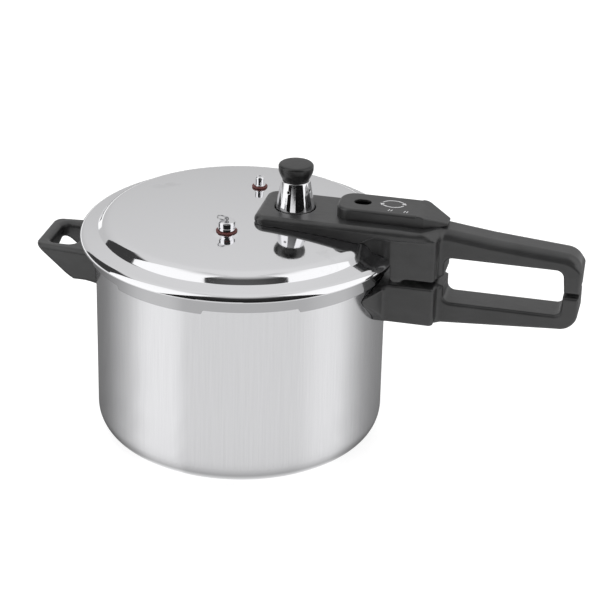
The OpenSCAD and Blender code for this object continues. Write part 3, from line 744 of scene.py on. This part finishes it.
def cover_field(x, y, z):
    """Raised cover with a round nose, a window over the lock pin and a faceted tail."""
    low, high = extent("handle_cover")
    straight, nose, half, tail_half = WALL_R + 31.5, 12, 17, 6
    side = half - nose
    points = arc(low[0] + nose, -side, nose, 180, 270, 14)
    points += [(straight, -half), (high[0], -tail_half), (high[0], tail_half), (straight, half)]
    points += arc(low[0] + nose, side, nose, 90, 180, 14)
    plan = outline(points, x, y)
    slope_start = straight - 3
    fall = ((z - COVER_TOP) + (x - slope_start) * 0.375) * 0.936
    top = meet(z - COVER_TOP, fall, 0.5)
    edge = np.where(x < straight - 6, 2.2, 0.9)
    body = meet(plan, top, edge)
    body = meet(body, PLATE_TOP - z, 0.3)
    window = rect(x, y, (WINDOW_X, 0), (6.5, 4.75), 4.7)
    cavity = rect(x, y, (WINDOW_X + 3, 0), (14, 11), 3)
    cavity = np.maximum(cavity, z - COVER_TOP + 2.2)
    body = np.maximum(body, -cavity)
    return cut(body, np.maximum(window, PLATE_TOP + 3 - z), 0.7)


def handle_cover():
    low, high = extent("handle_cover")
    made = solid("lock_cover", cover_field, low, high, 0.4)
    return place(made, "lid", "black_cover", "handle_cover")


def ribbon(points, width):
    """Outline of a flat line of the given width through points in a plane."""
    points = np.array(points, float)
    along = np.gradient(points, axis=0)
    along /= np.linalg.norm(along, axis=1)[:, None]
    side = np.stack([-along[:, 1], along[:, 0]], 1) * width / 2
    return np.concatenate([points + side, (points - side)[::-1]])


def cover_marks():
    """Printed turning arrow with a pair of ticks at each end, as a thin film of ink."""
    middle = np.array((117.5, 2.0))
    shapes = [ribbon(middle + np.array(arc(0, 0, 1, turn + 20, turn + 165, 24)) * (8.4, 6.2), 1.0)
              for turn in (0, 180)]
    head = np.array([(10.2, 0.4), (6.4, 0.2), (8.1, 4.2)])
    shapes += [middle + head, middle - head]
    shapes += [ribbon([(x, -11.8), (x + 0.9, -8.8)], 0.7) for x in (116, 118, 128, 130)]
    points, faces = [], []
    for flat in shapes:
        start, n = len(points), len(flat)
        points += [(x, y, COVER_TOP - 0.02) for x, y in flat]
        points += [(x, y, COVER_TOP + 0.04) for x, y in flat]
        faces.append([start + n + i for i in range(n)])
        faces.append([start + i for i in reversed(range(n))])
        faces += [[start + i, start + (i + 1) % n, start + n + (i + 1) % n, start + n + i]
                  for i in range(n)]
    mesh = mesh_of("cover_marks", points, faces)
    mesh.materials.append(print_ink())
    marks = linked("cover_marks", mesh)
    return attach(marks, "lid")


# ---- helper handle ----

def helper_field(x, y, z):
    """Helper handle: a flat loop whose underside slopes up to its outer bar and rises towards
    both arms. x is negative."""
    x = -x
    reach = -extent("helper_handle")[0][0]
    top, deep, root = POT_TOP - 13, POT_TOP - 52, WALL_R - 20
    root_half, corner, edge = 34, 9, 3.8
    plan = [(root, root_half), (root, -root_half)] + arc(reach - corner, -19, corner, -80, 0)
    plan = outline(plan + arc(reach - corner, 19, corner, 0, 80), x, y)
    side = [(root, deep), (WALL_R + 2, deep), (WALL_R + 15.5, deep + 4), (reach - 2, top - 10),
            (reach + 1, top - 7), (reach + 1, top + 20), (root, top + 20)]
    lift = (7.5 + 5.5 * (1 - smooth(x, WALL_R, WALL_R + 23))) * smooth(np.abs(y), 4, 28)
    body = meet(meet(plan, outline(side, x, z - lift), edge), z - top, edge)
    hole = rect(x, y, (WALL_R + 27.75, 0), (10.25, 18.5), 6)
    body = cut(body, hole, 5)
    return cut(body, np.hypot(x, y) - WALL_R - 0.2, 0.5)


def helper_handle():
    low, high = extent("helper_handle")
    made = solid("helper_grip", helper_field, low, high, 0.6)
    return place(made, "pot", "black_phenolic", "helper_handle")


# ---- regulator ----

def weight_field(x, y, z):
    """Plated cone with a bore for the vent tube and four small holes round its neck."""
    low, high = extent("regulator_weight")
    r = np.hypot(x - VENT[0], y - VENT[1])
    foot_r, bore_r, hole_r, first_hole, holes = 15, 4.7, 1, -13, 4
    lean = 4 / 22
    cone = (r - foot_r + np.maximum(z - low[2] - 1, 0) * lean) * math.cos(math.atan(lean))
    body = meet(meet(cone, z - high[2], 0.6), low[2] - z, 0.5)
    bore = np.maximum(r - bore_r, z - high[2] + 7)
    body = cut(body, bore, 0.5)
    for turn in np.radians(first_hole + np.arange(holes) * 360 / holes):
        u, v = math.cos(turn), math.sin(turn)
        along = (x - VENT[0]) * u + (y - VENT[1]) * v
        off = np.hypot((x - VENT[0]) * v - (y - VENT[1]) * u, z - high[2] + 6.7) - hole_r
        body = cut(body, np.maximum(off, 3 - along), 0.35)
    return body


def regulator():
    low, high = extent("regulator_weight")
    weight = solid("weight_cone", weight_field, low, high, 0.26)
    place(weight, "regulator", "chrome", "regulator_weight")
    low, high = extent("regulator_knob")
    base, top = low[2], high[2]
    profile = [(0, base), (8, base), (9.9, base)] + arc(9.75, base + 0.5, 0.5, -60, 0, 4)
    profile += [(10.7, base + 1.7), (11.8, base + 3.8), (12.75, base + 6), (13.3, base + 8)]
    profile += arc(11.2, top - 2.35, 2.25, 0, 84, 14) + [(8, top - 0.06), (4, top), (0, top)]
    knob = revolved("weight_knob", profile, 128, VENT[:2])
    place(knob, "regulator", "black_knob", "regulator_knob")


# ---- fittings on the lid ----

SEAL_THICK = 1.3


def ring_piece(name, node, bore, edge):
    """A thin washer that stands for a CAD node, with rounded edges."""
    low, high = extent(node)
    high[2] = low[2] + SEAL_THICK
    centre = centre_of(node)
    outer = (high[0] - low[0]) / 2
    profile = arc(outer - edge, low[2] + edge, edge, -90, 0, 6)
    profile += arc(outer - edge, high[2] - edge, edge, 0, 90, 6)
    profile += [(bore, high[2]), (bore, low[2])]
    return revolved(name, profile, 96, centre[:2])


def safety_valve():
    low, high = extent("safety_body")
    seal = extent("safety_seal")[0][2] + SEAL_THICK
    top, stem_r, cap_r, groove_r = high[2], 4, 6.5, 6.15
    profile = [(0, low[2]), (stem_r - 0.4, low[2]), (stem_r, low[2] + 0.4), (stem_r, seal - 0.01),
               (cap_r - 0.6, seal), (cap_r, seal + 0.5), (cap_r, seal + 2.3),
               (groove_r, seal + 2.6), (groove_r, seal + 2.9), (cap_r, seal + 3.2)]
    profile += [(cap_r, top - 1.4)] + arc(cap_r - 1.2, top - 1.2, 1.2, 0, 90, 8)
    profile += [(1.9, top), (1.5, top - 0.25), (0, top - 0.3)]
    body = revolved("safety_cap", profile, 128, SAFETY[:2])
    place(body, "lid", "chrome", "safety_body")
    seal_ring = ring_piece("safety_gasket", "safety_seal", 4.05, 0.5)
    place(seal_ring, "lid", "red_silicone", "safety_seal")


def indicator():
    low, high = extent("indicator_body")
    seal, top = extent("indicator_seal")[0][2] + SEAL_THICK, high[2]
    stem_r, flange_r, sleeve_r, bore_r = 3, 4.5, 3.5, 1.25
    profile = [(0, low[2]), (stem_r - 0.3, low[2]), (stem_r, low[2] + 0.3), (stem_r, seal - 0.01),
               (flange_r - 0.3, seal), (flange_r, seal + 0.3), (flange_r, seal + 0.9),
               (flange_r - 0.3, seal + 1.2), (sleeve_r, seal + 1.3)]
    profile += [(sleeve_r, top - 3)] + arc(sleeve_r - 1.8, top - 1.8, 1.8, 0, 80, 8)
    profile += [(bore_r + 0.25, top), (bore_r, top - 0.1), (bore_r, top - 1.2), (0, top - 1.2)]
    body = revolved("indicator_sleeve", profile, 96, INDICATOR[:2])
    place(body, "lid", "chrome", "indicator_body")
    ring = ring_piece("indicator_gasket", "indicator_seal", 3.05, 0.6)
    place(ring, "lid", "red_silicone", "indicator_seal")


# ---- CAD nodes that stay as they are ----

KEPT = {
    "bracket_aluminium": ["body_handle_bracket", "helper_bracket", "body_handle_rivets",
                          "helper_rivets"],
    "plain_steel": ["body_handle_screw", "helper_screw", "cover_screws", "lid_handle_screws",
                    "vent_tube", "vent_nut", "indicator_nut", "safety_nut", "safety_stem",
                    "safety_spring", "safety_ring", "indicator_pin", "lock_pin",
                    "regulator_needle", "regulator_stud"],
    "brass": ["lid_handle_inserts"],
    "red_silicone": ["lid_screw_washers", "vent_seal", "lock_seal"],
}


def keep_nodes():
    for slot, names in KEPT.items():
        for name in names:
            finished(frame["nodes"][name], slot)


# ---- studio ----

VIEW_TURN = 12.5
VIEW_TILT = 25.663
VIEW_ROLL = 1.404
VIEW_FROM = (0.3742, -1.4736, 0.8376)
LENS = 129
ROOM = 0.62


def direction(turn, rise):
    """Unit vector at an angle round from the viewer's side, positive to the right, and a rise."""
    around, up = math.radians(VIEW_TURN - 90 + turn), math.radians(rise)
    return Vector((math.cos(around) * math.cos(up), math.sin(around) * math.cos(up), math.sin(up)))


def glow():
    """Emission whose strength is the surface's own level at each point."""
    material = bpy.data.materials.new("glow")
    material.use_nodes = True
    nodes, links = material.node_tree.nodes, material.node_tree.links
    nodes.remove(nodes["Principled BSDF"])
    light, level = nodes.new("ShaderNodeEmission"), nodes.new("ShaderNodeAttribute")
    level.attribute_name = "level"
    links.new(level.outputs["Fac"], light.inputs["Strength"])
    links.new(light.outputs[0], nodes["Material Output"].inputs["Surface"])
    return material


GLOW = glow()


def glowing_grid(name, points, levels, camera=False):
    """A studio surface that lights nothing: it is seen in reflections only, or by the camera
    only. points holds rows of places in metres, and levels a brightness for each."""
    points = np.array(points)
    rows, columns = points.shape[:2]
    index = np.arange(rows * columns).reshape(rows, columns)
    faces = np.stack([index[:-1, :-1], index[1:, :-1], index[1:, 1:], index[:-1, 1:]], 2)
    mesh = bpy.data.meshes.new(name)
    mesh.from_pydata(points.reshape(-1, 3).tolist(), [], faces.reshape(-1, 4).tolist())
    mesh.attributes.new("level", "FLOAT", "POINT").data.foreach_set(
        "value", np.broadcast_to(levels, (rows, columns)).astype(np.float32).ravel())
    mesh.materials.append(GLOW)
    made = linked(name, mesh)
    made.visible_camera = camera
    made.visible_glossy = not camera
    made.visible_diffuse = False
    made.visible_shadow = False


def panel(name, foot, head, rises, low, high, soft, distance=1.3):
    """A curved panel round the lid. foot and head are the turns in degrees between which it lies
    at its lowest and highest rise. Its brightness goes from low to high on the way up, and fades
    into the room over the last soft degrees below its top."""
    middle = Vector((0, 0, 0.17))
    climb, across = np.linspace(0, 1, 41), np.linspace(0, 1, 25)
    rise = np.linspace(*rises, len(climb))
    left, right = (foot[side] + climb * (head[side] - foot[side]) for side in (0, 1))
    level = np.interp(rise, [rises[0], rises[1] - soft], [low, high])
    level = level + (ROOM - level) * smooth(rise, rises[1] - soft, rises[1])
    points = [[middle + distance * direction(a + s * (b - a), up)
               for a, b, up in zip(left, right, rise)] for s in across]
    glowing_grid(name, points, level[None, :])


def mirrored_turn(turns, radius):
    """Twice the turn round the pot's wall at which the viewer sees floor points mirrored, for
    points at these turns and at one radius in metres."""
    wall = WALL_R * MM
    if radius <= wall:
        return 2 * turns
    phi = np.radians(np.linspace(-89, 89, 179))
    away = np.sqrt(radius ** 2 - (wall * np.sin(phi)) ** 2) - wall * np.cos(phi)
    seen = np.arctan2(wall * np.sin(phi) + away * np.sin(2 * phi),
                      wall * np.cos(phi) + away * np.cos(2 * phi))
    return np.interp(turns, np.degrees(seen), 2 * np.degrees(phi))


def floor_glow():
    """The floor as the pot reflects it: brightest at the sides, dimmer in front and dark at the
    back, with a bright ring under the rounded edge of the base and a dim one close to the wall.
    bands holds turns with their level, and rings holds radii in metres with their share of it."""
    turns = np.arange(-180, 181, 2)
    bands = [(-180, 0.15), (-135, 0.2), (-123, 0.28), (-106, 0.46), (-97, 0.55), (-86, 0.76),
             (-76, 0.86), (-50, 0.86), (-43, 0.69), (50, 0.69), (61, 0.77), (72, 0.82), (88, 0.8),
             (101, 0.58), (118, 0.36), (135, 0.26), (180, 0.18)]
    rings = [(0.02, 0.6), (0.084, 0.8), (0.092, 1.2), (0.1, 1.15), (0.104, 0.9), (0.109, 0.55),
             (0.115, 0.7), (0.125, 0.87), (0.15, 0.97), (0.2, 1), (0.3, 1), (0.6, 1), (1.3, 1)]
    points = [[direction(t, 0) * r + Vector((0, 0, 0.0006)) for r, _ in rings] for t in turns]
    levels = [share * np.interp(mirrored_turn(turns, r), *zip(*bands)) for r, share in rings]
    glowing_grid("floor_glow", points, np.array(levels).T)


def floor():
    """Pale matt floor, lifted by a faint glow of its own."""
    half = 6000
    corners = [(-half, -half, 0), (half, -half, 0), (half, half, 0), (-half, half, 0)]
    mesh = mesh_of("floor", corners, [(0, 1, 2, 3)])
    plane = linked("floor", mesh)
    paint = Paint("floor_paint", grey(0.4, 1), 0, 0.9)
    paint.shader.inputs["Emission Color"].default_value = (1, 1, 1, 1)
    paint.shader.inputs["Emission Strength"].default_value = 0.8
    mesh.materials.append(paint.material)


def backdrop():
    """Pale wall and ceiling that only the camera sees."""
    far, sunk = 5.5, 0.01
    turns, rises = np.radians(np.linspace(0, 360, 49)), np.radians(np.linspace(0, 90, 13))
    points = [[(far * math.cos(t) * math.cos(r), far * math.sin(t) * math.cos(r),
                far * math.sin(r) - sunk) for r in rises] for t in turns]
    glowing_grid("backdrop", points, 0.98, camera=True)


def area_light(name, centre, size, aim, power):
    """A lamp that lights the scene but is never seen itself, in the open or in a reflection."""
    data = bpy.data.lights.new(name, "AREA")
    data.shape = "RECTANGLE"
    data.size, data.size_y = size
    data.energy = power
    lamp = linked(name, data)
    lamp.location = centre
    lamp.rotation_euler = (Vector(aim) - Vector(centre)).to_track_quat("-Z", "Y").to_euler()
    lamp.visible_camera = False
    lamp.visible_glossy = False


def world():
    """Grey room, a little lighter towards the ceiling."""
    sky = bpy.data.worlds.new("studio")
    sky.use_nodes = True
    bpy.context.scene.world = sky
    nodes, links = sky.node_tree.nodes, sky.node_tree.links
    background = nodes["Background"]
    where, split = nodes.new("ShaderNodeTexCoord"), nodes.new("ShaderNodeSeparateXYZ")
    ramp = nodes.new("ShaderNodeValToRGB")
    links.new(where.outputs["Generated"], split.inputs[0])
    links.new(split.outputs["Z"], ramp.inputs["Fac"])
    links.new(ramp.outputs["Color"], background.inputs["Color"])
    stops = ramp.color_ramp.elements
    stops[0].position, stops[0].color = 0.1, (*grey(ROOM - 0.05, 1), 1)
    stops[1].position, stops[1].color = 0.9, (*grey(ROOM + 0.14, 1), 1)


def studio():
    """Two tall soft boxes at the sides, a dark wall behind the camera with a light strip along
    its foot, a dark gap beyond the left box, and a pale floor under one wide lamp."""
    floor()
    backdrop()
    world()
    panel("soft_box_left", (-94, -30), (-94, -24), (-8, 78), 1.15, 1.1, 24)
    panel("soft_box_right", (40, 98), (36, 98), (-8, 78), 1.15, 1.1, 24)
    panel("dark_wall", (-54, 58), (-22, 38), (-9, 72), 0.003, 0.03, 28, 1.28)
    panel("light_strip", (-27, 3), (-27, 3), (-9, -1), 0.9, 0.9, 1, 1.26)
    panel("dark_gap_left", (-125, -94), (-125, -94), (2, 46), 0.045, 0.045, 5)
    floor_glow()
    area_light("overhead", (-0.3, 0.3, 1.6), (1.6, 1.6), (0, 0, 0.1), 12)


def camera():
    """Camera at the viewing angle: 12.5 degrees round, 25.7 down, with a slight roll."""
    data = bpy.data.cameras.new("camera")
    data.sensor_width = 36
    data.lens = LENS
    eye = linked("camera", data)
    turn = Matrix.Rotation(math.radians(VIEW_TURN), 4, "Z")
    tilt = Matrix.Rotation(math.radians(90 - VIEW_TILT), 4, "X")
    roll = Matrix.Rotation(math.radians(VIEW_ROLL), 4, "Z")
    eye.matrix_world = Matrix.Translation(VIEW_FROM) @ turn @ tilt @ roll
    bpy.context.scene.camera = eye


pot_shell()
lid_shell()
gasket_ring()
lid_handle()
body_handle()
handle_cover()
cover_marks()
helper_handle()
regulator()
safety_valve()
indicator()
keep_nodes()
studio()
camera()
bpy.context.scene.view_settings.view_transform = "Standard"

bpy.context.view_layer.update()
